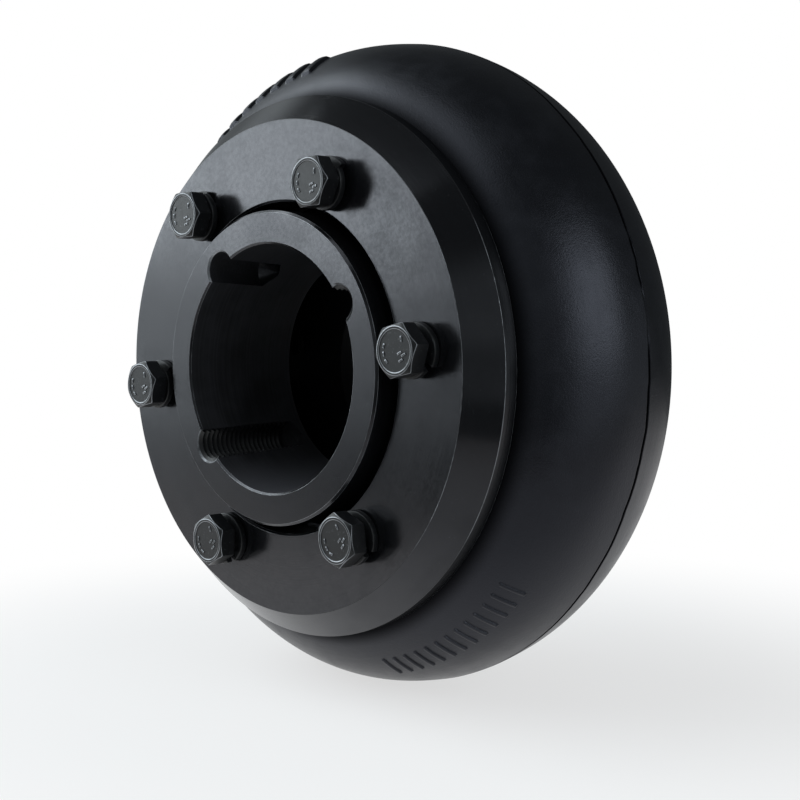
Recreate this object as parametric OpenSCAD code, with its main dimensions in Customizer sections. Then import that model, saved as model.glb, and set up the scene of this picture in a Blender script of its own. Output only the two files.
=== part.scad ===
// Tyre coupling for joining two shafts: a split rubber tyre whose beads are held between two
// hubbed flanges and two outer clamping rings. The axis runs along Y, the middle of the tyre is
// at the origin and the front half faces -Y. All lengths are in millimetres.

/* [Tyre] */
// Height of the tyre's crown above the clamping rings' rim
tyre_rise = 23; // [18:0.5:30]
// Thickness of the rubber at the crown
tyre_wall = 12; // [8:0.5:14]
// Thickness of each bead between flange and clamping ring
bead_thick = 10.5; // [8:0.5:14]
// Diameter of the round rib moulded on both faces of each bead
bead_rib_d = 5; // [3:0.5:7]
// Step from a clamping ring's rim down to the root of the rubber
root_inset = 1.5; // [0.5:0.25:3]
// Width of the cut across the tyre that lets it be wrapped round the flanges
split_gap = 3; // [1:0.5:8]

/* [Flanges] */
// Distance between the inner faces of the two flanges
flange_gap = 27; // [20:1:40]
// Thickness of each flange disc
flange_thick = 13.5; // [11:0.5:18]
// How far the flange disc's rim lies inside the clamping ring's rim
flange_inset = 4; // [3:0.5:7]
// Radius on the flange disc's rim, on the bead's side
flange_round = 3; // [1:0.5:4]
// Outside diameter of the hubs
hub_od = 108; // [104:1:116]
// Length of each hub, from the flange's inner face to the hub's end
hub_len = 45; // [40:0.5:56]
// Radius of the fillet between hub and flange disc
hub_fillet = 2.5; // [1:0.5:3]
// Chamfer on the outer edge of the hub's end
hub_chamfer = 0.8; // [0.3:0.1:2]

/* [Taper bore] */
// Diameter of the taper bore at the hub's end
bore_d = 85.5; // [78:0.5:90]
// Included angle of the taper
bore_taper = 8; // [4:0.5:10]
// Chamfer at the bore's mouth
bore_chamfer = 0.6; // [0.3:0.1:1.5]
// Diameter of the two threaded half holes for the bush screws
thread_hole_d = 12.7; // [10:0.1:14]
// Diameter of the plain half hole for the removal screw
plain_hole_d = 13.2; // [10:0.1:14]
// Depth of the plain half hole
plain_hole_depth = 23; // [12:1:34]
// Distance from the end of the threaded half holes to the flange's inner face
thread_hole_stop = 5; // [4:0.5:20]
// How far the half holes' axes lie inside the bore's wall at the mouth
half_hole_sink = 0.4; // [0:0.1:1.5]
// Chamfer at the mouth of each half hole
half_hole_chamfer = 0.6; // [0.2:0.1:1.2]
// Place of the plain half hole round the bore, in degrees
plain_hole_angle = 126; // [0:1:359]
// Turn from the plain half hole to each threaded one, in degrees
thread_hole_turn = 95; // [60:1:120]

/* [Clamping rings] */
// Outside diameter of the clamping rings
ring_od = 188; // [180:1:200]
// Thickness of the ring outside the bead
ring_thick = 15; // [12:0.5:20]
// Width of the cylindrical land at the ring's rim
ring_land = 5.4; // [3:0.2:8]
// Radial width of the bevel between the face and the rim
ring_bevel = 9; // [5:0.5:11]
// Chamfer at the edge of the ring's bore
ring_chamfer = 0.7; // [0.3:0.1:1.5]
// Open gap all round between hub and ring
ring_gap = 3.25; // [2:0.25:6]
// Wall of the ring's spigot outside the screw holes
spigot_wall = 1.6; // [1:0.1:3]
// Gap left between spigot and flange, so that the ring pinches the bead
pinch_gap = 3; // [1:0.5:5]

/* [Screws] */
// Thread diameter of the screws
screw_d = 10; // [8:0.5:11]
// Length of the screws below the head
screw_len = 40; // [34:1:46]
// Width of the hexagon across flats
head_af = 16; // [13:0.5:18]
// Height of the hexagon head
head_h = 6.4; // [5:0.1:8]
// Width of the raised rim round the top of the head
head_rim = 0.8; // [0.4:0.1:1.5]
// Depth of the shallow dish inside that rim
head_dish = 0.3; // [0.1:0.05:0.6]
// Distance from the ring's bore to the axis of each screw
screw_inset = 10; // [9:0.25:12]
// Place of the first screw round the axis, in degrees
screw_angle = 6.3; // [0:0.1:60]
// Chamfer at the tip of each screw
screw_chamfer = 1.2; // [0.5:0.1:2]

/* [Spring washers] */
// Thickness of the spring washers
washer_t = 2.2; // [1.6:0.1:3]
// Radial width of the spring washers
washer_w = 3.7; // [2.5:0.1:4.5]
// Height of a spring washer from its lower to its upper end
washer_h = 4.8; // [3.6:0.1:6]
// Width of the slot between a washer's two ends
washer_slot = 1.6; // [0.8:0.1:3]

/* [Fits] */
// Radial clearance of the spigot in the bead
bead_fit = 0.4; // [0.2:0.1:1]
// Radial clearance of the screws in the rings
screw_fit = 0.5; // [0.25:0.05:1]
// Radial clearance of the screws in their threads
thread_fit = 0.05; // [0.02:0.01:0.1]
// Radial clearance of the washers round the screws
washer_fit = 0.3; // [0.1:0.05:0.6]
// Clearance of the bead ribs in their grooves
rib_fit = 0.2; // [0.1:0.05:0.5]
// Clearance of the flange's rim inside the tyre
rim_fit = 1; // [0.5:0.1:2]

/* [Hidden] */
$fn = 96;
// Small overshoot that lets a cut pass clean through a face
over = 0.5;

SIDES = ["front", "rear"];
screw_count = 6;
SCREWS = [1 : screw_count];

// How each screw head came to stand when it was tightened: a corner's angle, in degrees
head_turn = [13, 3, 2, 14, 28, 38];
// Where each spring washer's slot came to stand, in degrees
slot_turn = [-30, 45, 75, 50, -50, -20];

// Share of the width across flats that the round top of a head takes up
head_top_share = 0.95;
// Slope of the cone that turns down the corners of a head
head_cone = 30;
// Included angle of a drilled hole's pointed end
drill_point = 118;
// Straight stretches in a spring washer's coil
coil_steps = 40;

iron_colour = [0.25, 0.26, 0.28];
ring_colour = [0.22, 0.23, 0.25];
screw_colour = [0.17, 0.17, 0.19];
rubber_colour = [0.09, 0.09, 0.1];

// Distances from the middle of the tyre, along the axis
flange_in = flange_gap / 2;
flange_out = flange_in + flange_thick;
hub_end = flange_in + hub_len;
ring_back = flange_out + bead_thick;
ring_face = ring_back + ring_thick;
head_seat = ring_face + washer_h;

// Radii, from the axis outwards
bore_r = bore_d / 2;
bore_small_r = bore_r - hub_len * tan(bore_taper / 2);
hub_r = hub_od / 2;
ring_bore_r = hub_r + ring_gap;
screw_pitch_r = ring_bore_r + screw_inset;
screw_hole_r = screw_d / 2 + screw_fit;
thread_r = screw_d / 2 + thread_fit;
spigot_r = screw_pitch_r + screw_hole_r + spigot_wall;
bead_bore_r = spigot_r + bead_fit;
ring_r = ring_od / 2;
rib_pitch_r = (bead_bore_r + ring_r - flange_inset) / 2;
rib_r = bead_rib_d / 2;
flange_r = ring_r - flange_inset;
neck_r = flange_r + rim_fit;
root_r = ring_r - root_inset;
crown_r = ring_r + tyre_rise;
half_hole_r = bore_r - half_hole_sink;

// Turn from one screw to the next
screw_step = 360 / screw_count;
// Radius to the corners of a head
head_corner_r = head_af / 2 / cos(30);
// Radius of the round top of a head
head_top_r = head_top_share * head_af / 2;

// Turn that the cut across the tyre takes up at the crown
split_angle = 2 * asin(split_gap / 2 / crown_r);

// Radius of an arc from its rise above a chord and half that chord's length
function arc_radius(rise, half_chord) = (half_chord * half_chord + rise * rise) / (2 * rise);

// A point of a ring-shaped sweep
function polar(r, angle, z) = [r * cos(angle), r * sin(angle), z];

// The front half lies along -Y, and the rear half is the same turned about the upright
module on_side(side)
    rotate([0, 0, side == "rear" ? 180 : 0])
        rotate([90, 0, 0])
            children();

// Moves its child to the place of one screw
module at_screw(i)
    translate(polar(screw_pitch_r, screw_angle + screw_step * (i - 1), 0))
        children();

// Disc whose arc passes through the crown and through both roots
module crown_disc(crown, root, half_width) {
    radius = arc_radius(crown - root, half_width);
    translate([crown - radius, 0])
        circle(r = radius, $fn = 180);
}

// Upright band of the tyre's section between two radii
module band(inner, outer, half_width)
    translate([inner, -half_width])
        square([outer - inner, 2 * half_width]);

module tyre_section()
    difference() {
        union() {
            intersection() {
                crown_disc(crown_r, root_r, ring_back);
                band(bead_bore_r, crown_r + over, ring_back);
            }
            for (z = [ring_back, -ring_back])
                translate([rib_pitch_r, z])
                    circle(r = rib_r);
        }
        intersection() {
            union() {
                crown_disc(crown_r - tyre_wall, neck_r, flange_out);
                band(0, neck_r, flange_out);
            }
            difference() {
                band(0, crown_r, flange_out);
                for (z = [flange_out, -flange_out])
                    translate([rib_pitch_r, z])
                        circle(r = rib_r);
            }
        }
    }

// The cut across the tyre lies on the -X side
module tyre()
    color(rubber_colour)
        rotate([90, 0, 0])
            rotate(180 + split_angle / 2)
                rotate_extrude(angle = 360 - split_angle)
                    tyre_section();

// Square corner with a round cut out of it, as a fillet's or a rounded edge's waste
module corner_waste(radius)
    difference() {
        square(radius + over);
        circle(r = radius);
    }

module flange_section()
    difference() {
        union() {
            polygon([
                [bore_small_r, flange_in],
                [flange_r, flange_in],
                [flange_r, flange_out],
                [hub_r, flange_out],
                [hub_r, hub_end - hub_chamfer],
                [hub_r - hub_chamfer, hub_end],
                [bore_r + bore_chamfer, hub_end],
                [bore_r - bore_chamfer * tan(bore_taper / 2), hub_end - bore_chamfer]
            ]);
            difference() {
                translate([hub_r, flange_out])
                    square(hub_fillet);
                translate([hub_r + hub_fillet, flange_out + hub_fillet])
                    circle(r = hub_fillet);
            }
        }
        translate([flange_r - flange_round, flange_out - flange_round])
            corner_waste(flange_round);
        translate([rib_pitch_r, flange_out])
            circle(r = rib_r + rib_fit);
    }

// Blind hole, half in the hub and half in the bore, drilled from the hub's end
module half_hole(angle, diameter, depth) {
    radius = diameter / 2;
    translate(polar(half_hole_r, angle, hub_end))
        rotate_extrude()
            polygon([
                [0, -depth - radius / tan(drill_point / 2)],
                [radius, -depth],
                [radius, -half_hole_chamfer],
                [radius + half_hole_chamfer + over, over],
                [0, over]
            ]);
}

module flange()
    color(iron_colour)
        difference() {
            rotate_extrude()
                flange_section();
            half_hole(plain_hole_angle, plain_hole_d, plain_hole_depth);
            for (turn = [-thread_hole_turn, thread_hole_turn])
                half_hole(plain_hole_angle + turn, thread_hole_d, hub_len - thread_hole_stop);
            for (i = SCREWS)
                at_screw(i)
                    translate([0, 0, flange_in - over])
                        cylinder(r = thread_r, h = flange_thick + 2 * over);
        }

module ring_section()
    difference() {
        polygon([
            [ring_bore_r, flange_out + pinch_gap],
            [spigot_r, flange_out + pinch_gap],
            [spigot_r, ring_back],
            [ring_r, ring_back],
            [ring_r, ring_back + ring_land],
            [ring_r - ring_bevel, ring_face],
            [ring_bore_r + ring_chamfer, ring_face],
            [ring_bore_r, ring_face - ring_chamfer]
        ]);
        translate([rib_pitch_r, ring_back])
            circle(r = rib_r + rib_fit);
    }

module clamp_ring()
    color(ring_colour)
        difference() {
            rotate_extrude()
                ring_section();
            for (i = SCREWS)
                at_screw(i)
                    translate([0, 0, flange_out])
                        cylinder(r = screw_hole_r, h = ring_face - flange_out + over);
        }

// Hexagon whose corners are turned down by a cone, with a shallow dish in its top
module hexagon_head() {
    reach = head_corner_r + over;
    intersection() {
        cylinder(r = head_corner_r, h = head_h, $fn = 6);
        rotate_extrude()
            polygon([
                [0, 0],
                [reach, 0],
                [reach, head_h - (reach - head_top_r) * tan(head_cone)],
                [head_top_r, head_h],
                [head_top_r - head_rim, head_h],
                [head_top_r - head_rim - head_dish, head_h - head_dish],
                [0, head_h - head_dish]
            ]);
    }
}

module screw(i)
    color(screw_colour)
        at_screw(i)
            translate([0, 0, head_seat])
                rotate(head_turn[i - 1])
                    union() {
                        hexagon_head();
                        translate([0, 0, -screw_len + screw_chamfer])
                            cylinder(d = screw_d, h = screw_len - screw_chamfer + over);
                        translate([0, 0, -screw_len])
                            cylinder(d1 = screw_d - 2 * screw_chamfer, d2 = screw_d, h = screw_chamfer);
                    }

// Left-hand coil of a little less than one turn, with a square-cut end on each side of its slot
module spring_coil() {
    inner_r = screw_d / 2 + washer_fit;
    outer_r = inner_r + washer_w;
    slot_angle = 2 * asin(washer_slot / 2 / outer_r);
    rise = washer_h - washer_t;
    points = [
        for (k = [0 : coil_steps])
            let (angle = slot_angle / 2 + (360 - slot_angle) * k / coil_steps, z = rise * (1 - k / coil_steps))
            each [
                polar(inner_r, angle, z),
                polar(outer_r, angle, z),
                polar(outer_r, angle, z + washer_t),
                polar(inner_r, angle, z + washer_t)
            ]
    ];
    sides = [
        for (k = [0 : coil_steps - 1], c = [0 : 3])
            let (a = 4 * k + c, b = 4 * k + (c + 1) % 4)
            each [[a, b, b + 4], [a, b + 4, a + 4]]
    ];
    ends = [[for (c = [3 : -1 : 0]) c], [for (c = [0 : 3]) 4 * coil_steps + c]];
    polyhedron(points, concat(sides, ends));
}

module spring_washer(i)
    color(screw_colour)
        at_screw(i)
            translate([0, 0, ring_face])
                rotate(slot_turn[i - 1])
                    spring_coil();

tyre();
for (side = SIDES) {
    on_side(side) flange();
    on_side(side) clamp_ring();
    for (i = SCREWS) {
        on_side(side) screw(i);
        on_side(side) spring_washer(i);
    }
}
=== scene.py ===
"""Looks of a split-tyre shaft coupling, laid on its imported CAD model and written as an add-on."""
import math

import bmesh
import bpy
from mathutils import Matrix, Vector, noise


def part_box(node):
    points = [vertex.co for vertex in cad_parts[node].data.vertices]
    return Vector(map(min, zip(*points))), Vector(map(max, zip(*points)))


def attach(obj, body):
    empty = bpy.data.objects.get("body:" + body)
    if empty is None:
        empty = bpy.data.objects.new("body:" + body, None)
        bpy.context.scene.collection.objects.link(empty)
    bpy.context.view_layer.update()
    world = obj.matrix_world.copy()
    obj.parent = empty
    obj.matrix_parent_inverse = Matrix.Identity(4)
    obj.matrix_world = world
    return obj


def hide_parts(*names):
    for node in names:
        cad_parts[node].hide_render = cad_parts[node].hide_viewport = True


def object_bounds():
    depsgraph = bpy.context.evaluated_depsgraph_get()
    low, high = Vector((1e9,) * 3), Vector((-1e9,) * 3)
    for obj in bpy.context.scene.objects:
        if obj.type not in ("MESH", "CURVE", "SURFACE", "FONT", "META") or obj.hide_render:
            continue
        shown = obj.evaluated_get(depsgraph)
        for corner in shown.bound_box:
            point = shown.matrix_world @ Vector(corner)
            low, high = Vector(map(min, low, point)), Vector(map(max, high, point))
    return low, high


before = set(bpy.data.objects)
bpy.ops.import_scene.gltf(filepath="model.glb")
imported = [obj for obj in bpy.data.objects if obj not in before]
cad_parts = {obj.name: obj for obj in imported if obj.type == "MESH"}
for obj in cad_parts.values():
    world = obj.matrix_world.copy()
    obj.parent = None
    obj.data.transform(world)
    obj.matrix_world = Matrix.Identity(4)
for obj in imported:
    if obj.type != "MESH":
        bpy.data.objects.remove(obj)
CAD_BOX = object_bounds()

bl_info = {
    "name": "Tyre Coupling",
    "version": (1, 0, 0),
    "blender": (4, 5, 0),
    "location": "View3D > Sidebar > Coupling",
    "description": "Builds the looks of a tyre coupling on its CAD frame",
    "category": "Add Mesh",
}

MM = 0.001
SIDES = ("front", "rear")
COUNT = 6
CREASE = math.radians(32)
HALF_TURN = Matrix.Rotation(math.pi, 4, "Z")
RIGHT_ANGLE = math.pi / 2

# Flats in a full turn, and in the half turn of a rib's section
TYRE_STEPS = 480
TURNED_STEPS = 288
ROUND_STEPS = 96
HOLE_STEPS = 64
RIB_STEPS = 10

# How each screw and each washer happens to stand, in degrees
SCREW_TURNS = (13, 3, 2, 14, 28, 38)
WASHER_TURNS = (-30, 45, 75, 50, -50, -20)

# Stations and places that the CAD frame gives
TYRE_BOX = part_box("tyre")
RING_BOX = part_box("front_clamp_ring")
FLANGE_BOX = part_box("front_flange")
SCREW_BOXES = [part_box(f"front_screw_{i + 1}") for i in range(COUNT)]
SCREW_PLACES = [(low + high) / 2 for low, high in SCREW_BOXES]


def length(name, default, description):
    """A length in metres, given in millimetres."""
    return bpy.props.FloatProperty(
        name=name, description=description, default=default * MM, unit="LENGTH", precision=5
    )


def turn(name, default, description):
    """An angle, given in degrees."""
    return bpy.props.FloatProperty(
        name=name, description=description, default=math.radians(default), subtype="ANGLE", unit="ROTATION"
    )


def share(name, default, description):
    """A plain number."""
    return bpy.props.FloatProperty(name=name, description=description, default=default, precision=3)


def colour(name, default, description):
    """A colour without alpha."""
    return bpy.props.FloatVectorProperty(
        name=name, description=description, default=default, subtype="COLOR", size=3, min=0, max=1
    )


class CouplingTyre(bpy.types.PropertyGroup):
    """Sizes of the rubber tyre and of what its mould left on it."""

    wall: length("Wall", 12, "Thickness of the rubber at the crown")
    root: length("Root", 92.5, "Radius where the bulge leaves the bead")
    neck: length("Neck", 91, "Radius of the hollow at the beads")
    bead_bore: length("Bead bore", 74.75, "Radius of the hole through each bead")
    bead_out: length("Bead outside", 37.5, "Distance from the middle to the bead's outer face")
    bead_in: length("Bead inside", 27, "Distance from the middle to the bead's inner face")
    rib_place: length("Rib place", 82.375, "Radius of the round rib on each bead face")
    rib: length("Rib", 2.5, "Radius of that rib's own section")
    split: length("Split", 3, "Width of the cut across the tyre")
    seam_depth: length("Seam depth", 1.0, "Depth of the mould's parting line")
    seam_width: length("Seam width", 0.42, "Half width of the mould's parting line")
    seam_stray: length("Seam stray", 0.5, "How far the parting line strays to either side")
    seam_step: length("Seam step", 0.10, "Step between the two mould halves")
    rub_turn: turn("Rub turn", 9, "Where the parting line is rubbed down")
    rub_span: turn("Rub span", 5, "Half length of that stretch")
    ridge: length("Ridge", 0.50, "Drop of the wall on either side of the parting line")
    wave: length("Wave", 0.04, "Unevenness of the moulded wall")
    mark_height: length("Mark height", 0.8, "How far the plain moulded bars stand up")
    mark_width: length("Mark width", 1.7, "Width of a moulded bar")


class CouplingMetal(bpy.types.PropertyGroup):
    """Sizes of the flanges and clamping rings."""

    edge: length("Edge", 0.22, "Radius worn on the outer edges")
    flange_out: length("Flange outside", 27, "Distance from the middle to the flange's bead face")
    flange_round: length("Flange round", 3, "Radius on the flange's rim")
    hub: length("Hub", 54, "Radius of the hub")
    hub_fillet: length("Hub fillet", 2.5, "Radius between hub and flange")
    hub_chamfer: length("Hub chamfer", 0.8, "Chamfer on the hub's end")
    bore: length("Bore", 42.75, "Radius of the taper bore at the hub's end")
    bore_chamfer: length("Bore chamfer", 0.6, "Chamfer at the bore's mouth")
    taper: turn("Taper", 4, "Slope of the bore's wall to the axis")
    groove: length("Groove", 2.7, "Radius of the groove that takes a bead's rib")
    ring: length("Ring", 94, "Radius of the clamping ring")
    ring_bore: length("Ring bore", 57.25, "Radius of the ring's bore")
    ring_chamfer: length("Ring chamfer", 0.7, "Chamfer at the ring's bore")
    ring_land: length("Ring land", 5.4, "Width of the land at the ring's rim")
    ring_bevel: length("Ring bevel", 9, "Radial width of the ring's bevel")
    spigot: length("Spigot", 74.35, "Radius of the ring's spigot")
    screw_hole: length("Screw hole", 5.5, "Radius of the screw holes in the ring")
    thread_hole: length("Thread hole", 5.05, "Radius of the threaded screw holes in the flange")
    half_hole_place: length("Half hole place", 42.35, "Radius of the circle the half holes stand on")
    plain_depth: length("Plain hole depth", 23, "Depth of the plain half hole")
    tapped_depth: length("Tapped hole depth", 40, "Depth of the tapped half holes")
    drill_point: turn("Drill point", 118, "Included angle of the half holes' pointed ends")
    half_hole_chamfer: length("Half hole chamfer", 0.6, "Chamfer at a half hole's mouth")
    plain_hole: length("Plain hole", 6.6, "Radius of the plain half hole")
    plain_turn: turn("Plain hole turn", 126, "Where the plain half hole stands")
    tapped_hole: length("Tapped hole", 6.35, "Radius of the tapped half holes")
    tapped_turn: turn("Tapped hole turn", 95, "Turn from the plain half hole to each tapped one")
    pitch: length("Pitch", 2.117, "Pitch of the thread in the tapped half holes")
    thread_depth: length("Thread depth", 1.05, "Depth of that thread")


class CouplingScrews(bpy.types.PropertyGroup):
    """Sizes of the hexagon screws and spring washers."""

    flats: length("Across flats", 16, "Width of the hexagon across its flats")
    head: length("Head", 6.4, "Height of the hexagon head")
    top: length("Top", 7.6, "Radius of the round top of a head")
    rim: length("Rim", 0.8, "Width of the rim round that top")
    dish: length("Dish", 0.3, "Depth of the dish inside the rim")
    shank: length("Shank", 5, "Radius of the shank")
    tip: length("Tip", 1.2, "Chamfer at the tip")
    washer_bore: length("Washer bore", 5.3, "Inner radius of a spring washer")
    washer_width: length("Washer width", 3.7, "Radial width of a spring washer")
    washer_thick: length("Washer thickness", 2.2, "Thickness of a spring washer")
    washer_height: length("Washer height", 4.8, "Height of a spring washer over its two ends")
    washer_slot: length("Washer slot", 1.6, "Gap between the ends of a spring washer")
    washer_round: length("Washer round", 0.3, "Radius on the edges of a spring washer")


class CouplingLooks(bpy.types.PropertyGroup):
    """Colours and finishes."""

    rubber: colour("Rubber", (0.0042, 0.0046, 0.0056), "Moulded rubber")
    bloom: colour("Bloom", (0.014, 0.015, 0.018), "Dull bloom on the rubber")
    ring: colour("Ring", (0.0044, 0.0046, 0.0053), "Blackened face of the clamping rings")
    iron: colour("Iron", (0.0042, 0.0044, 0.0051), "Blackened hubs")
    bore: colour("Bore", (0.022, 0.022, 0.025), "Dull wall of the taper bores")
    screw: colour("Screw", (0.0050, 0.0053, 0.0062), "Black screws")
    washer: colour("Washer", (0.0055, 0.0058, 0.0066), "Black spring washers")
    # Pale of rubbed edges and scratches, and also of painted highlights along the rounded edges
    bare_and_highlight: colour("Bare", (0.30, 0.31, 0.33), "Rubbed edges and scratches")
    # Painted shade: the black laid over the tyre's crease and parting line and over the bores' depth
    painted_shade: colour("Shade", (0.0015, 0.0015, 0.0018), "Black of creases and of the bores' depth")
    cast: colour("Cast", (0.93, 0.93, 1.0), "Cool cast of what the black parts reflect")
    rubber_cast: colour("Rubber cast", (0.84, 0.85, 1.0), "Cool cast of what the rubber reflects")
    rubber_rough: share("Rubber roughness", 0.32, "Roughness of the rubber")
    rubber_shine: share("Rubber shine", 0.42, "Specular level of the rubber")
    ring_rough: share("Ring roughness", 0.19, "Roughness of the rings")
    bevel_rough: share("Bevel roughness", 0.18, "Roughness of the rings' turned bevels")
    ring_shine: share("Ring shine", 0.66, "Specular level of the rings and hubs")
    screw_rough: share("Screw roughness", 0.38, "Roughness of the screws")
    screw_shine: share("Screw shine", 0.38, "Specular level of the screws and washers")


class CouplingStage(bpy.types.PropertyGroup):
    """Camera, floor and light."""

    azimuth: turn("Azimuth", 44.482, "Where the camera stands round the object")
    elevation: turn("Elevation", 3.324, "How far the camera stands above the axis")
    distance: length("Distance", 519.309, "Distance from the camera to the middle of the tyre")
    aside: length("Aside", 4.902, "How far the camera is moved to its right")
    lift: length("Lift", -13.044, "How far the camera is moved up")
    lens: share("Lens", 62.79, "Focal length in millimetres on a 36 mm sensor")
    floor: colour("Floor", (0.86, 0.86, 0.86), "Pale floor")
    floor_glow: share("Floor glow", 0.65, "Share of plain white in the floor near the object")
    floor_dim: share("Floor dimming", 0.45, "Share of the far floor that shiny parts miss")
    floor_radius: length("Floor radius", 800, "Radius of the floor")
    floor_front: length("Floor front", 320, "Distance to the floor's edge on the camera's side")
    fill: share("Fill", 0.30, "Level of the light from all round")
    room: share("Room", 0.30, "Level that shiny parts see away from the white backdrop")
    backdrop: turn("Backdrop", 168, "Where the middle of the white backdrop stands round the object")
    wall: share("Wall", 1.25, "Level that shiny parts see of the lit wall below the main lamp")
    wall_turn: turn("Wall turn", 205, "Where the middle of that wall stands round the object")
    right_turn: turn("Right turn", 36.07, "Where the dim light at the far right stands round the object")
    side_turn: turn("Side turn", -3, "Where the low light at the right stands round the object")
    corner_turn: turn("Corner turn", 235, "Where the darker stretch of the floor lies round the object")
    overhead: share("Overhead", 0.06, "Level that shiny parts see overhead")
    lamp_tint: colour("Lamp tint", (0.88, 0.96, 1.0), "Slightly cool lamps")
    lamp: share("Lamp", 3.0, "Level of the main soft lamp")
    top_lamp: share("Top lamp", 1.0, "Level of the soft lamp above")
    side_lamp: share("Side lamp", 2.2, "Level of the soft lamp at the camera's right")


def arithmetic(operation, swapped=False):
    """A method of Value that adds a Math node, with the two values swapped where asked."""

    def method(self, other):
        first, second = (other, self) if swapped else (self, other)
        return self.math(operation, first, second)

    return method


class Value:
    """A socket in a node tree. Arithmetic adds Math nodes, and node() adds any other node."""

    def __init__(self, tree, socket=None):
        self.tree = tree
        self.socket = socket

    def node(self, kind, sockets=None, output=0, **settings):
        """A new node with these sockets and settings, at one of its outputs."""
        node = self.tree.nodes.new(kind)
        for key, value in settings.items():
            setattr(node, key, value)
        for key, value in (sockets or {}).items():
            if isinstance(value, Value):
                self.tree.links.new(value.socket, node.inputs[key])
            else:
                node.inputs[key].default_value = value
        return Value(self.tree, node.outputs[output] if node.outputs else None)

    def output(self, name):
        """Another output of the same node."""
        return Value(self.tree, self.socket.node.outputs[name])

    def parts(self):
        """The three coordinates of this place or direction."""
        split = self.node("ShaderNodeSeparateXYZ", {0: self})
        return split, split.output("Y"), split.output("Z")

    def math(self, operation, first, second):
        """A Math node on two values."""
        return self.node("ShaderNodeMath", {0: first, 1: second}, operation=operation)

    __add__ = arithmetic("ADD")
    __radd__ = arithmetic("ADD", True)
    __sub__ = arithmetic("SUBTRACT")
    __rsub__ = arithmetic("SUBTRACT", True)
    __mul__ = arithmetic("MULTIPLY")
    __rmul__ = arithmetic("MULTIPLY", True)
    __truediv__ = arithmetic("DIVIDE")
    __pow__ = arithmetic("POWER")

    def ramp(self, low, high):
        """0 at low, 1 at high and a soft rise between."""
        sockets = {"Value": self, "From Min": low, "From Max": high}
        return self.node("ShaderNodeMapRange", sockets, interpolation_type="SMOOTHSTEP")

    def fade(self, low, high):
        """1 at low, 0 at high and a soft fall between."""
        return 1 - self.ramp(low, high)

    def mix(self, first, second):
        """Colour that goes from first to second as this value goes from 0 to 1."""
        sockets = {0: self, 6: solid_colour(first), 7: solid_colour(second)}
        return self.node("ShaderNodeMix", sockets, 2, data_type="RGBA")

    def grain(self, scale, detail=2.0, rough=0.5):
        """Noise over this place."""
        sockets = {"Vector": self, "Scale": scale, "Detail": detail, "Roughness": rough}
        return self.node("ShaderNodeTexNoise", sockets)


def solid_colour(value):
    """A colour with alpha, or a socket as it is."""
    return value if isinstance(value, Value) else (*value, 1.0)


def scaled(tone, factor):
    """A colour times a factor."""
    return tuple(factor * c for c in tone)


def new_material(name):
    """An empty material and a starting value of its tree."""
    material = bpy.data.materials.new(name)
    material.use_nodes = True
    material.node_tree.nodes.clear()
    return material, Value(material.node_tree)


def close_material(start, sockets, shade_cover=None, painted_shade=None):
    """Puts a Principled shader with these sockets at the tree's end, and a dull diffuse in a painted-shade
    colour over it as far as the cover share goes.
    """
    shader = start.node("ShaderNodeBsdfPrincipled", sockets)
    if shade_cover is not None:
        shade_bsdf = start.node("ShaderNodeBsdfDiffuse", {"Color": (*painted_shade, 1)})
        shader = start.node("ShaderNodeMixShader", {0: shade_cover, 1: shader, 2: shade_bsdf})
    start.node("ShaderNodeOutputMaterial", {"Surface": shader})


def object_place(start):
    """Object place, with its radius, its distance along the axis and its height."""
    place = start.node("ShaderNodeTexCoord", output="Object")
    x, y, z = place.parts()
    return place, (x * x + z * z) ** 0.5, y, z


def section_place(radius, along):
    """Place in the turned section, which is the same all round."""
    return radius.node("ShaderNodeCombineXYZ", {0: radius, 1: along})


def toward(x, y, angle):
    """How far a place or direction lies towards an angle round the upright."""
    return x * math.cos(angle) + y * math.sin(angle)


def bump(height, strength, distance):
    """Normal that follows a height."""
    sockets = {"Strength": strength, "Distance": distance, "Height": height}
    return height.node("ShaderNodeBump", sockets, "Normal")


def rubber_material(looks, metal):
    """Moulded rubber: satin black with a dull bloom, fine grain and faint flow lines, and painted shade
    over the parting line and the crease beside the ring.
    """
    _, start = new_material("moulded_rubber")
    place, radius, along, _ = object_place(start)
    bloom = (0.6 * place.grain(22, 4, 0.6) + 0.4 * place.grain(140, 3)).ramp(0.42, 0.72)
    flow = section_place(radius, along).grain(420, 3, 0.6)
    speck = place.grain(1500, 2).ramp(0.66, 0.78)
    weave = place.grain(1800, 2)
    # Painted shade: the parting line is covered with black on top of its moulded groove
    seam = start.node("ShaderNodeAttribute", output="Fac", attribute_name="seam")
    # Painted shade: the rubber is covered with black in the crease beside the clamping ring's rim, where
    # shade falls
    painted_crease_shade = radius.fade(metal.ring - 0.5 * MM, metal.ring + 6 * MM)
    close_material(
        start,
        {
            "Base Color": (0.35 * bloom + 0.40 * speck).mix(looks.rubber, looks.bloom),
            "Roughness": looks.rubber_rough - 0.09 + 0.10 * bloom + 0.08 * flow + 0.08 * weave,
            "Specular IOR Level": looks.rubber_shine,
            "Specular Tint": (*looks.rubber_cast, 1),
            "Normal": bump(1.5 * weave + 0.5 * flow + 0.9 * place.grain(500, 3), 0.30, 0.00012),
        },
        0.96 * seam + 0.9 * painted_crease_shade,
        looks.painted_shade,
    )


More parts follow.
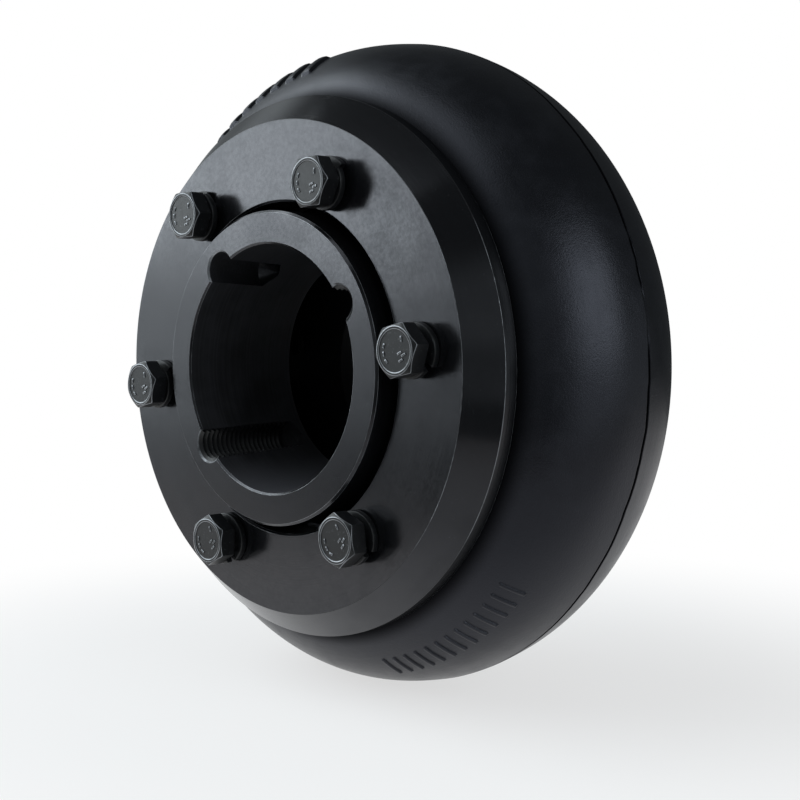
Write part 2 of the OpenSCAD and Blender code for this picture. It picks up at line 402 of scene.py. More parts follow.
def blackened_material(name, tone, rough, bevel_rough, lines, looks, metal):
    """Blackened turned metal: satin with turning lines, a fine mottle and some rubbed specks."""
    _, start = new_material(name)
    place, radius, along, _ = object_place(start)
    section = section_place(radius, along)
    turned = section.grain(1900, 4, 0.65)
    wide = section.grain(260, 3, 0.6)
    cloud = 0.6 * place.grain(34, 3, 0.5) + 0.4 * place.grain(110, 3, 0.5)
    bevel_start = metal.ring - metal.ring_bevel
    bevel = radius.ramp(bevel_start - 0.2 * MM, bevel_start + 0.3 * MM)
    etch = place.grain(750, 3, 0.65).ramp(0.30, 0.70) * (1 - 0.8 * bevel)
    mottle = 0.75 * cloud + 0.25 * etch
    speck = place.grain(1700, 1).ramp(0.74, 0.80)
    tones = (0.4 * mottle + 0.6 * lines * turned).ramp(0.25, 0.75)
    base = tones.mix(scaled(tone, 0.72), scaled(tone, 1.30))
    close_material(
        start,
        {
            "Base Color": (0.08 * speck).mix(base, looks.bare_and_highlight),
            "Metallic": 0.14 * etch + 0.12 * cloud.ramp(0.46, 0.62),
            "Roughness": rough - 0.14 + 0.06 * wide + 0.22 * mottle - (rough - bevel_rough) * bevel,
            "Specular IOR Level": looks.ring_shine,
            "Specular Tint": (*looks.cast, 1),
            "Normal": bump(lines * turned + 0.5 * lines * wide + 0.05 * etch, 0.18, 0.00010),
        },
    )


def oxide_material(name, tone, looks):
    """Black-oxide steel of the small parts."""
    _, start = new_material(name)
    place = start.node("ShaderNodeTexCoord", output="Object")
    mottle = place.grain(420, 3, 0.6)
    rub = place.grain(1300, 3, 0.6).ramp(0.60, 0.80)
    close_material(
        start,
        {
            "Base Color": (0.30 * rub).mix(tone, looks.bare_and_highlight),
            "Roughness": looks.screw_rough - 0.06 + 0.14 * mottle,
            "Specular IOR Level": looks.screw_shine,
            "Normal": bump(mottle + 0.6 * place.grain(1800, 2), 0.25, 0.00012),
        },
    )


def bore_material(looks, metal):
    """Dull machined wall of the taper bore and its half holes, with painted light that makes it paler at
    the bottom and painted shade that makes it darker far in.
    """
    _, start = new_material("bore_dull")
    place, radius, along, height = object_place(start)
    lines = section_place(radius, along).grain(1500, 3, 0.6)
    stain = place.grain(90, 4, 0.6)
    pale = (0.5 * lines + 0.5 * stain).ramp(0.3, 0.7)
    wall = pale.mix(scaled(looks.bore, 0.4), looks.bore)
    # Painted light: the bore's upward-facing bottom is paler, where light falls in through the mouth
    bottom = 0.75 * MM - metal.bore
    painted_foot_light = height.fade(bottom, bottom + 10 * MM)
    close_material(
        start,
        {
            "Base Color": painted_foot_light.mix(wall, scaled(looks.bore, 1.9)),
            "Roughness": 0.56 + 0.14 * stain,
            "Specular IOR Level": 0.15,
            "Normal": bump(lines, 0.15, 0.00010),
        },
        # Painted shade: faces past the middle, those of the rear piece, are covered near black
        0.7 * along.ramp(-12 * MM, 0),
        looks.painted_shade,
    )


def worn_and_highlight_material(name, broad, low, high, looks):
    """Edges where the black has rubbed thin, in broad patches with a fine break-up; their pale stands
    partly for real wear and partly for painted highlights on the rounded edges. The rings' outer edges
    keep their black, but for a stretch on each side."""
    _, start = new_material(name)
    place, radius, _, height = object_place(start)
    beside = height.ramp(-62 * MM, -45 * MM) * height.fade(42 * MM, 50 * MM)
    kept = radius.ramp(78 * MM, 82 * MM) * (1 - beside)
    patches = 0.6 * place.grain(broad, 2) + 0.4 * place.grain(320, 3, 0.7)
    wear_and_highlight = patches.ramp(low, high) * (1 - kept)
    close_material(
        start,
        {
            "Base Color": wear_and_highlight.mix(scaled(looks.bare_and_highlight, 0.08), looks.bare_and_highlight),
            "Metallic": 0.2 + 0.5 * wear_and_highlight,
            "Roughness": 0.46 - 0.10 * wear_and_highlight,
        },
    )


def materials(scene):
    """All materials by name; each is made once."""
    looks, metal = scene.coupling_looks, scene.coupling_metal
    made = bpy.data.materials
    if "moulded_rubber" not in made:
        rough = looks.ring_rough
        rubber_material(looks, metal)
        blackened_material("ring_black", looks.ring, rough, looks.bevel_rough, 1.0, looks, metal)
        blackened_material("hub_black", looks.iron, rough, rough, 0.7, looks, metal)
        oxide_material("screw_black", looks.screw, looks)
        oxide_material("washer_black", looks.washer, looks)
        bore_material(looks, metal)
        worn_and_highlight_material("worn_edge", 45, 0.38, 0.60, looks)
        worn_and_highlight_material("worn_head", 150, 0.25, 0.55, looks)
    return made


def polar(radius, angle, along):
    """A point at a radius and angle, and at a distance towards the front."""
    return Vector((radius * math.cos(angle), -along, radius * math.sin(angle)))


def arc(centre, radius, first, last, steps):
    """Plain section corners along an arc."""
    angles = [first + (last - first) * k / steps for k in range(steps + 1)]
    return [(centre[0] + radius * math.cos(a), centre[1] + radius * math.sin(a), 0, 0) for a in angles]


def rounded(corners, steps=4, guard=0.12 * MM):
    """Closed section from corners (radius, along, round, tag of a small round). Flat sides get a ring near
    each end, so that they shade flat."""
    points = []
    count = len(corners)
    for i in range(count):
        before, here, after = (Vector(corners[k % count][:2]) for k in (i - 1, i, i + 1))
        size, tag = corners[i][2:]
        if size == 0:
            points.append((*here, 0))
            continue
        back, on = (before - here).normalized(), (after - here).normalized()
        half = back.angle(on) / 2
        reach = size / math.tan(half)
        middle = here + (back + on).normalized() * (size / math.sin(half))
        start, end = here + back * reach - middle, here + on * reach - middle
        span = math.pi - 2 * half
        if (before - here).length > reach + 4 * guard:
            points.append((*(here + back * (reach + guard)), 0))
        for k in range(steps + 1):
            t = k / steps
            spoke = (start * math.sin((1 - t) * span) + end * math.sin(t * span)) / math.sin(span)
            points.append((*(middle + spoke), tag if k < steps else 0))
        if (after - here).length > reach + 4 * guard:
            points.append((*(here + on * (reach + guard)), 0))
    return points


def lathe(section, steps, first=0.0, sweep=math.tau):
    """Vertices, faces and material tags of a closed section turned about the axis."""
    whole = sweep > math.tau - 1e-9
    columns = steps if whole else steps + 1
    count = len(section)
    verts = [polar(r, first + sweep * k / steps, s) for k in range(columns) for r, s, _ in section]
    faces, tags = [], []
    for k in range(steps):
        a, b = k * count, (k + 1) % columns * count
        for j in range(count):
            i = (j + 1) % count
            faces.append((a + j, a + i, b + i, b + j))
            tags.append(section[j][2])
    if not whole:
        faces += [tuple(range(count)), tuple(range(steps * count, columns * count))]
        tags += [0, 0]
    return verts, faces, tags


def new_mesh(name, verts, faces, tags, used):
    """A mesh with outward faces, smooth shading and sharp edges."""
    mesh = bpy.data.meshes.new(name)
    mesh.from_pydata(verts, [], faces)
    for material in used:
        mesh.materials.append(material)
    mesh.polygons.foreach_set("material_index", tags)
    tidy(mesh)
    return mesh


def tidy(mesh):
    """Faces point outwards, and the form shades smooth between sharp edges."""
    work = bmesh.new()
    work.from_mesh(mesh)
    bmesh.ops.recalc_face_normals(work, faces=work.faces)
    work.to_mesh(mesh)
    work.free()
    mesh.polygons.foreach_set("use_smooth", [True] * len(mesh.polygons))
    mesh.set_sharp_from_angle(angle=CREASE)
    mesh.update()


def bake(obj):
    """The object's mesh with its modifiers in it; the modifiers are removed."""
    graph = bpy.context.evaluated_depsgraph_get()
    mesh = bpy.data.meshes.new_from_object(obj.evaluated_get(graph))
    obj.modifiers.clear()
    return mesh


def place_object(name, mesh):
    """A new object in the scene."""
    obj = bpy.data.objects.new(name, mesh)
    bpy.context.scene.collection.objects.link(obj)
    return obj


def carve(mesh, cutter):
    """The mesh with the cutter's form taken out of it."""
    obj, tool = place_object("carved", mesh), place_object("cutter", cutter)
    cut = obj.modifiers.new("Cut", "BOOLEAN")
    cut.operation = "DIFFERENCE"
    cut.solver = "EXACT"
    cut.object = tool
    made = bake(obj)
    for spare in (obj, tool):
        bpy.data.objects.remove(spare)
    tidy(made)
    return made


def tube(first, count, rings):
    """Faces of a closed tube of rings with count vertices each: its bands, then its two ends."""
    last = first + (rings - 1) * count
    faces = []
    for low in range(first, last, count):
        for k in range(count):
            on = (k + 1) % count
            faces.append((low + k, low + on, low + count + on, low + count + k))
    return faces + [tuple(range(first, first + count)), tuple(range(last, last + count))]


def hole_cutter(name, holes, used):
    """Round cutters (place, radius, low, high, flare, drill point) along the axis in one mesh."""
    verts, faces, tags = [], [], []
    tip = 0.05 * MM
    for place, radius, low, high, flare, point in holes:
        rings, bands = [(radius, low), (radius, high)], [0]
        if flare:
            rings[1:] = [(radius, high - flare), (radius + flare + MM, high + MM)]
            bands.append(1)
        if point:
            rings.insert(0, (tip, low - (radius - tip) / math.tan(point / 2)))
            bands.insert(0, 1)
        faces += tube(len(verts), HOLE_STEPS, len(rings))
        tags += [tag for tag in bands for _ in range(HOLE_STEPS)] + [0, 0]
        centre = Vector((place[0], 0, place[1]))
        for r, s in rings:
            verts += [centre + polar(r, math.tau * k / HOLE_STEPS, s) for k in range(HOLE_STEPS)]
    return new_mesh(name, verts, faces, tags, used)


def piece(name, mesh, nodes):
    """A finished piece that stands for CAD nodes."""
    mesh.name = name
    obj = place_object(name, mesh)
    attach(obj, "root")
    if nodes:
        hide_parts(*nodes)


def both_ends(name, mesh, nodes):
    """The front piece, and the same turned about the upright as the rear one."""
    for side in SIDES:
        copy = mesh.copy()
        if side == "rear":
            copy.transform(HALF_TURN)
        piece(f"{side}_{name}", copy, [f"{side}_{node}" for node in nodes])


def bulge(tyre):
    """Centre radius, arc radius and half angle of the tyre's outer wall."""
    crown = TYRE_BOX[1].z - 0.1 * MM
    rise = crown - tyre.root
    radius = (tyre.bead_out**2 + rise**2) / (2 * rise)
    return crown - radius, radius, math.asin(tyre.bead_out / radius)


class COUPLING_OT_tyre(bpy.types.Operator):
    """Builds the rubber tyre with its parting line and plain moulded bars"""

    bl_idname = "coupling.tyre"
    bl_label = "Tyre"

    def execute(self, context):
        tyre = context.scene.coupling_tyre
        used = [materials(context.scene)["moulded_rubber"]]
        middle, radius, half = bulge(tyre)
        section = self.section(tyre, middle, radius, half)
        verts, faces, tags = lathe(section, TYRE_STEPS, *self.opening(tyre))
        moulded = [self.moulded(tyre, v, middle, radius) for v in verts]
        mesh = new_mesh("tyre", [v for v, _ in moulded], faces, tags, used)
        line = mesh.attributes.new("seam", "FLOAT", "POINT")
        line.data.foreach_set("value", [seam for _, seam in moulded])
        piece("tyre", mesh, ["tyre"])
        piece("tyre_marks", self.marks(tyre, middle, radius, used), [])
        return {"FINISHED"}

    @staticmethod
    def opening(tyre):
        """Start and sweep of the lathe, which leaves the cut across the tyre open on the -X side."""
        gap = 2 * math.asin(tyre.split / 2 / TYRE_BOX[1].z)
        return math.pi + gap / 2, math.tau - gap

    @staticmethod
    def section(tyre, middle, radius, half):
        """The tyre's section, from the front root over the crown and back through the hollow."""
        coarse = {half * (1 - k / 44) for k in range(89)}
        fine = {math.asin(k * 0.12 * MM / radius) for k in range(-16, 17)}
        angles = sorted(coarse | fine, reverse=True)
        points = [(middle + radius * math.cos(a), radius * math.sin(a), 0, 0) for a in angles]
        crown_in = middle + radius - tyre.wall
        rise = crown_in - tyre.neck
        inner = (tyre.bead_in**2 + rise**2) / (2 * rise)
        inner_half = math.asin(tyre.bead_in / inner)

        def rib(side, first, last):
            return arc((tyre.rib_place, side), tyre.rib, first, last, RIB_STEPS)

        points += rib(-tyre.bead_out, 0, -math.pi)
        points += [(tyre.bead_bore, -tyre.bead_out, 0, 0), (tyre.bead_bore, -tyre.bead_in, 0, 0)]
        points += rib(-tyre.bead_in, math.pi, 0)
        points += arc((crown_in - inner, 0), inner, -inner_half, inner_half, 24)
        points += rib(tyre.bead_in, 0, -math.pi)
        points += [(tyre.bead_bore, tyre.bead_in, 0, 0), (tyre.bead_bore, tyre.bead_out, 0, 0)]
        points += rib(tyre.bead_out, math.pi, 0)
        return [(r, s, 0) for r, s, _, _ in points]

    @staticmethod
    def moulded(tyre, point, middle, radius):
        """A point of the outer wall with the mould's unevenness, and its share of the painted shade along
        the parting line.
        """
        r, s = math.hypot(point.x, point.z), -point.y
        spoke = Vector((r - middle, s))
        if abs(spoke.length - radius) > 0.01 * MM:
            return point, 0.0
        at = math.atan2(point.z, point.x)
        around = Vector((point.x, 0, point.z)) / r
        stray = tyre.seam_stray * (noise.noise(around * 9) + 0.5 * noise.noise(around * 31))
        rubbed = math.exp(-(((at - tyre.rub_turn) / tyre.rub_span) ** 4))
        depth = (1 - 0.85 * rubbed) * (0.9 + 0.5 * noise.noise(around * 17 + Vector((5, 0, 0))))
        off = s - stray
        # Share of painted shade that covers the parting line's groove with black
        seam = min(1, 1.3 * depth) * math.exp(-((off / tyre.seam_width / 1.9) ** 6))
        sink = tyre.seam_depth * depth * math.exp(-((off / tyre.seam_width) ** 2))
        ridge_slope, ridge_reach, step_width, rim_fade = 4 * MM, 16 * MM, 0.15 * MM, 6 * MM
        sink += tyre.ridge * (1 - math.exp(-abs(off) / ridge_slope)) * math.exp(-((s / ridge_reach) ** 2))
        sink += tyre.seam_step / (1 + math.exp(min(off / step_width, 60)))
        inward = min(1, (tyre.bead_out - abs(s)) / rim_fade)
        sink += tyre.wave * (0.5 + 0.5 * noise.noise(point * 45)) * inward
        spoke *= (radius - sink) / spoke.length
        return polar(middle + spoke.x, at, spoke.y), seam

    @staticmethod
    def marks(tyre, middle, radius, used):
        """Two rows of plain raised bars on the front wall."""
        # First turn, step, count, tilt off the crown, length in mm, times the usual width and height
        rows = (
            (285, 2.9, 13, 38.5, 10.5, 1.0, 1.0),
            (97, 4.8, 11, 35, 13.0, 3.4, 1.9),
        )
        across, along, sunk = 6, 14, 0.25 * MM
        width = across + 1
        rim = [*range(width)]
        rim += [j * width + across for j in range(1, along + 1)]
        rim += [along * width + i for i in range(across - 1, -1, -1)]
        rim += [j * width for j in range(along - 1, 0, -1)]
        verts, faces = [], []
        for first, step, count, tilt_degrees, size_mm, times_wide, times_tall in rows:
            tilt, size = math.radians(tilt_degrees), size_mm * MM
            wide, tall = times_wide * tyre.mark_width, times_tall * tyre.mark_height
            ring = middle + radius * math.cos(tilt)
            for at in (math.radians(first + step * k) for k in range(count)):
                start = len(verts)
                for j in range(along + 1):
                    v = 2 * j / along - 1
                    a = tilt + v * size / 2 / radius
                    for i in range(across + 1):
                        u = 2 * i / across - 1
                        edge = max(abs(u), 1 - (1 - abs(v)) * size / wide)
                        out = radius + tall * (1 - edge**4) - sunk
                        t = at + u * wide / 2 / ring
                        verts.append(polar(middle + out * math.cos(a), t, out * math.sin(a)))
                for j in range(along):
                    for k in range(start + j * width, start + j * width + across):
                        faces.append((k, k + 1, k + width + 1, k + width))
                faces.append(tuple(start + k for k in reversed(rim)))
        return new_mesh("tyre_marks", verts, faces, [0] * len(faces), used)


class COUPLING_OT_clamp_rings(bpy.types.Operator):
    """Builds the two turned clamping rings"""

    bl_idname = "coupling.clamp_rings"
    bl_label = "Clamping rings"

    def execute(self, context):
        metal = context.scene.coupling_metal
        tyre = context.scene.coupling_tyre
        made = materials(context.scene)
        used = [made["ring_black"], made["worn_edge"]]
        face, spigot_end, back = -RING_BOX[0].y, -RING_BOX[1].y, tyre.bead_out
        edge = metal.edge
        corners = [
            (metal.ring_bore, spigot_end, edge, 0),
            (metal.spigot, spigot_end, edge, 0),
            (metal.spigot, back, 0, 0),
            *arc((tyre.rib_place, back), metal.groove, math.pi, 0, RIB_STEPS),
            (metal.ring, back, edge, 1),
            (metal.ring, back + metal.ring_land, edge, 1),
            (metal.ring - metal.ring_bevel, face, edge, 1),
            (metal.ring_bore + metal.ring_chamfer, face, edge / 2, 1),
            (metal.ring_bore, face - metal.ring_chamfer, edge / 2, 1),
        ]
        mesh = new_mesh("ring", *lathe(rounded(corners), TURNED_STEPS), used)
        holes = [((p.x, p.z), metal.screw_hole, spigot_end - MM, face + MM, 0, 0) for p in SCREW_PLACES]
        mesh = carve(mesh, hole_cutter("holes", holes, used))
        both_ends("clamp_ring", mesh, ["clamp_ring"])
        return {"FINISHED"}


class COUPLING_OT_flanges(bpy.types.Operator):
    """Builds the two flanges with their hubs, taper bores, half holes and thread"""

    bl_idname = "coupling.flanges"
    bl_label = "Flanges"

    def execute(self, context):
        metal = context.scene.coupling_metal
        tyre = context.scene.coupling_tyre
        made = materials(context.scene)
        used = [made["hub_black"], made["worn_edge"], made["bore_dull"]]
        end, inside, rim = -FLANGE_BOX[0].y, -FLANGE_BOX[1].y, FLANGE_BOX[1].z
        edge, taper = metal.edge, math.tan(metal.taper)
        corners = [
            (metal.bore - (end - inside) * taper, inside, edge, 0),
            (rim, inside, edge, 0),
            (rim, metal.flange_out, metal.flange_round, 0),
            *arc((tyre.rib_place, metal.flange_out), metal.groove, 0, -math.pi, RIB_STEPS),
            (metal.hub, metal.flange_out, metal.hub_fillet, 0),
            (metal.hub, end - metal.hub_chamfer, edge / 2, 1),
            (metal.hub - metal.hub_chamfer, end, edge / 2, 1),
            (metal.bore + metal.bore_chamfer, end, edge / 2, 1),
            (metal.bore - metal.bore_chamfer * taper, end - metal.bore_chamfer, edge / 2, 1),
        ]
        mesh = new_mesh("flange", *lathe(rounded(corners), TURNED_STEPS), used)
        turns = [
            (metal.plain_turn, metal.plain_hole, metal.plain_depth),
            (metal.plain_turn - metal.tapped_turn, metal.tapped_hole, metal.tapped_depth),
            (metal.plain_turn + metal.tapped_turn, metal.tapped_hole, metal.tapped_depth),
        ]
        flare, point = metal.half_hole_chamfer, metal.drill_point
        holes = [(self.place(metal, at), size, end - deep, end, flare, point) for at, size, deep in turns]
        low, high = inside - MM, metal.flange_out + MM
        holes += [((p.x, p.z), metal.thread_hole, low, high, 0, 0) for p in SCREW_PLACES]
        mesh = carve(mesh, hole_cutter("holes", holes, used))
        for face in mesh.polygons:
            x, y, z = face.center
            deep = end + y
            wall = math.hypot(x, z) < metal.hub - 2 * MM and deep > metal.bore_chamfer
            shade_bsdf = face.material_index == 0 or deep > metal.tapped_depth
            # Faces near the middle take the dull bore material too, so that its painted shade darkens the
            # rear flange's inner face
            if -y < inside + 0.3 * MM or wall and shade_bsdf:
                face.material_index = 2
            elif wall and deep > metal.plain_depth:
                face.material_index = 0
        both_ends("flange", mesh, ["flange"])
        thread = self.thread(metal, end, [at for at, _, _ in turns[1:]], [made["screw_black"]])
        both_ends("bush_thread", thread, [])
        return {"FINISHED"}

    @staticmethod
    def place(metal, at):
        """Place of a half hole across the axis."""
        return metal.half_hole_place * math.cos(at), metal.half_hole_place * math.sin(at)

    @staticmethod
    def thread(metal, end, angles, used):
        """Ridges of the thread in the tapped half holes, one closed ridge for each turn."""
        verts, faces = [], []
        steps, lead = 20, 1.6 * MM
        wall, crest = metal.tapped_hole + 0.04 * MM, metal.tapped_hole - metal.thread_depth
        # Corners of a ridge as radius and shift in pitches
        ridge = ((wall, -0.46), (crest, -0.06), (crest, 0.06), (wall, 0.46))
        turns = int((metal.tapped_depth - lead) / metal.pitch)
        for at in angles:
            out, aside = polar(1, at, 0), polar(1, at + RIGHT_ANGLE, 0)
            for deep in (lead + metal.pitch * k for k in range(turns)):
                open_by = metal.bore - deep * math.tan(metal.taper) - metal.half_hole_place
                reach = math.acos(open_by / wall)
                faces += tube(len(verts), len(ridge), steps + 1)
                for j in range(steps + 1):
                    a = reach * (2 * j / steps - 1)
                    spoke = out * math.cos(a) + aside * math.sin(a)
                    depth = deep + metal.pitch * a / math.tau
                    for size, shift in ridge:
                        flat = out * metal.half_hole_place + spoke * size
                        verts.append(flat - Vector((0, end - depth - shift * metal.pitch, 0)))
        return new_mesh("thread", verts, faces, [0] * len(faces), used)


def new_tree(name, sockets):
    """A Geometry Nodes tree with these inputs; returns it, its group input and its inputs' identifiers."""
    tree = bpy.data.node_groups.new(name, "GeometryNodeTree")
    tree.is_modifier = True
    tree.interface.new_socket("Geometry", in_out="OUTPUT", socket_type="NodeSocketGeometry")
    tree.interface.new_socket("Geometry", in_out="INPUT", socket_type="NodeSocketGeometry")
    keys = {}
    for label, kind in sockets:
        keys[label] = tree.interface.new_socket(label, in_out="INPUT", socket_type=kind).identifier
    return tree, Value(tree).node("NodeGroupInput", output="Geometry"), keys


def set_out(group, shape, edge_selection=None):
    """Sets the shape on the group's points, each by its own turn, as one mesh with its materials."""
    spin = group.node("GeometryNodeInputNamedAttribute", {"Name": "turn"}, data_type="FLOAT")
    euler = group.node("ShaderNodeCombineXYZ", {0: RIGHT_ANGLE, 1: 0 - spin})
    sockets = {"Points": group, "Instance": shape, "Rotation": euler}
    placed = group.node("GeometryNodeInstanceOnPoints", sockets)
    joined = group.node("GeometryNodeRealizeInstances", {"Geometry": placed})
    sockets = {"Geometry": joined, "Material": group.output("Material")}
    joined = group.node("GeometryNodeSetMaterial", sockets)
    if edge_selection:
        worn = group.node("GeometryNodeInputNamedAttribute", {"Name": edge_selection}, data_type="BOOLEAN")
        sockets = {"Geometry": joined, "Selection": worn, "Material": group.output("Edge Material")}
        joined = group.node("GeometryNodeSetMaterial", sockets)
    group.node("NodeGroupOutput", {"Geometry": joined})


def grown(name, degrees, along, tree, keys, values):
    """Plain mesh that a tree grows at the screws' places, each turned by its own degrees."""
    base = bpy.data.meshes.new(name)
    base.from_pydata([(p.x, -along, p.z) for p in SCREW_PLACES], [], [])
    turns = [math.radians(a) for a in degrees]
    base.attributes.new("turn", "FLOAT", "POINT").data.foreach_set("value", turns)
    obj = place_object(name, base)
    grow = obj.modifiers.new("Grow", "NODES")
    grow.node_group = tree
    for label, value in values.items():
        grow[keys[label]] = value
    mesh = bake(obj)
    bpy.data.objects.remove(obj)
    return mesh


class COUPLING_OT_screws(bpy.types.Operator):
    """Builds the hexagon screws and sets six of them on each end"""

    bl_idname = "coupling.screws"
    bl_label = "Screws"

    def execute(self, context):
        screws = context.scene.coupling_screws
        made = materials(context.scene)
        seat = -SCREW_BOXES[0][0].y - screws.head
        shape = place_object("screw_shape", self.shape(screws, seat + SCREW_BOXES[0][1].y))
        sockets = [("Shape", "NodeSocketObject")]
        sockets += [(label, "NodeSocketMaterial") for label in ("Material", "Edge Material")]
        tree, group, keys = new_tree("screw_circle", sockets)
        source = group.node("GeometryNodeObjectInfo", {"Object": group.output("Shape")}, "Geometry")
        set_out(group, source, "worn")
        values = {"Shape": shape, "Material": made["screw_black"], "Edge Material": made["worn_head"]}
        mesh = grown("screws", SCREW_TURNS, seat, tree, keys, values)
        bpy.data.objects.remove(shape)
        tidy(mesh)
        both_ends("screws", mesh, [f"screw_{i + 1}" for i in range(COUNT)])
        return {"FINISHED"}

    @staticmethod
    def shape(screws, shank):
        """One screw with its head's seat at the origin, and plain raised ticks in the head's dish."""
        flat, slope, soft = screws.flats / 2, math.tan(math.radians(30)), 0.12 * MM
        floor, inner = screws.head - screws.dish, screws.top - screws.rim

        def hexagon(angle):
            lean = (angle + math.pi / 6) % (math.pi / 3) - math.pi / 6
            return min(flat / math.cos(math.pi / 6 - abs(lean)), flat / math.cos(math.pi / 6) - soft)

        def cone(size):
            return screws.head - (size - screws.top) * slope

        # Rings from the tip up to the middle of the head: radius, height, and if the band above is worn,
        # with a painted highlight
        rings = [
            (screws.shank - screws.tip, -shank, False),
            (screws.shank, screws.tip - shank, False),
            (screws.shank, 0, False),
            (lambda a: hexagon(a) - 2 * soft, 0, False),
            (hexagon, 2 * soft, False),
            (hexagon, lambda r: cone(r) - soft, True),
            (lambda a: hexagon(a) - soft, cone, False),
            (screws.top + soft, cone, True),
            (screws.top - soft, screws.head, False),
            (inner + soft, screws.head, True),
            (inner - soft, screws.head - soft, False),
            (inner - screws.dish, floor, False),
            (inner - screws.dish - 2 * soft, floor, False),
        ]
        verts = []
        for size, height, _ in rings:
            for a in (math.tau * k / ROUND_STEPS for k in range(ROUND_STEPS)):
                r = size(a) if callable(size) else size
                z = height(r) if callable(height) else height
                verts.append(Vector((r * math.cos(a), r * math.sin(a), z)))
        faces = tube(0, ROUND_STEPS, len(rings))
        worn = [above for _, _, above in rings[:-1] for _ in range(ROUND_STEPS)] + [False, False]
        # Plain raised ticks: distance from the middle in mm, angle, lean, length in mm
        ticks = [
            (4.9, 150, 60, 1.5),
            (4.9, 180, 90, 1.5),
            (4.9, 210, 120, 1.5),
            (4.6, 40, 85, 1.9),
            (4.0, 300, 15, 1.9),
            (4.0, 330, 15, 1.9),
            (2.2, 330, 15, 1.9),
        ]
        tick_half = 0.34
        # Levels of a tick: share of its plan and lift off the dish's floor
        levels = ((1.0, -0.05 * MM), (1.0, 0.6 * screws.dish), (0.5, 0.95 * screws.dish))
        for away, at, lean, size in ticks:
            spot, along = (Vector((math.cos(a), math.sin(a))) for a in map(math.radians, (at, lean)))
            faces += tube(len(verts), 4, len(levels))
            # The ticks' sloping sides take the worn head material: wear and a painted highlight
            worn += [False] * 4 + [True] * 4 + [False, False]
            for scale, lift in levels:
                for sx, sy in ((-1, -1), (1, -1), (1, 1), (-1, 1)):
                    reach, half = sx * scale * size / 2, sy * scale * tick_half
                    corner = spot * away + along * reach + along.orthogonal() * half
                    verts.append(Vector((corner.x * MM, corner.y * MM, floor + lift)))
        mesh = new_mesh("screw_shape", verts, faces, [0] * len(faces), [])
        mesh.attributes.new("worn", "BOOLEAN", "FACE").data.foreach_set("value", worn)
        return mesh


class COUPLING_OT_spring_washers(bpy.types.Operator):
    """Builds the spring washers as left-hand coils under the screw heads"""

    bl_idname = "coupling.spring_washers"
    bl_label = "Spring washers"

    def execute(self, context):
        screws = context.scene.coupling_screws
        made = materials(context.scene)
        tree, keys = self.tree()
        outer = screws.washer_bore + screws.washer_width
        slot = 2 * math.asin(screws.washer_slot / 2 / outer)
        values = {
            "Mean Radius": screws.washer_bore + screws.washer_width / 2,
            "Width": screws.washer_width,
            "Thickness": screws.washer_thick,
            "Rise": screws.washer_height - screws.washer_thick,
            "Turns": 1 - slot / math.tau,
            "Slot Half Angle": slot / 2,
            "Edge Round": screws.washer_round,
            "Material": made["washer_black"],
        }
        mesh = grown("washers", WASHER_TURNS, -RING_BOX[0].y, tree, keys, values)
        tidy(mesh)
        mesh.materials.append(made["worn_head"])
        # Painted highlight with wear: the washers' rounded outer edges take the worn head material
        for face in mesh.polygons:
            away = min((face.center.xz - p.xz).length for p in SCREW_PLACES)
            if away > outer - screws.washer_round and 0.2 < abs(face.normal.y) < 0.97:
                face.material_index = 1
        nodes = [f"spring_washer_{i + 1}" for i in range(COUNT)]
        both_ends("spring_washers", mesh, nodes)
        return {"FINISHED"}

    @staticmethod
    def tree():
        """Sweeps a rounded bar along one left-hand turn and sets it on the points."""
        sizes = ("Mean Radius", "Width", "Thickness", "Rise", "Turns", "Slot Half Angle", "Edge Round")
        sockets = [(label, "NodeSocketFloat") for label in sizes] + [("Material", "NodeSocketMaterial")]
        tree, group, keys = new_tree("spring_washers", sockets)
        mean, thickness = group.output("Mean Radius"), group.output("Thickness")
        coil = group.node(
            "GeometryNodeCurveSpiral",
            {
                "Resolution": ROUND_STEPS,
                "Rotations": group.output("Turns"),
                "Start Radius": mean,
                "End Radius": mean,
                "Height": group.output("Rise"),
                "Reverse": True,
            },
        )
        coil = group.node("GeometryNodeSetCurveNormal", {"Curve": coil}, mode="Z_UP")
        sockets = {"Width": group.output("Width"), "Height": thickness}
        bar = group.node("GeometryNodeCurvePrimitiveQuadrilateral", sockets)
        sockets = {"Curve": bar, "Count": 3, "Radius": group.output("Edge Round")}
        bar = group.node("GeometryNodeFilletCurve", sockets, mode="POLY")
        sockets = {"Curve": coil, "Profile Curve": bar, "Fill Caps": True}
        swept = group.node("GeometryNodeCurveToMesh", sockets)
        lift = group.node("ShaderNodeCombineXYZ", {2: thickness / 2})
        spin = group.node("ShaderNodeCombineXYZ", {2: 0 - group.output("Slot Half Angle")})
        sockets = {"Geometry": swept, "Translation": lift, "Rotation": spin}
        set_out(group, group.node("GeometryNodeTransform", sockets))
        return tree, keys


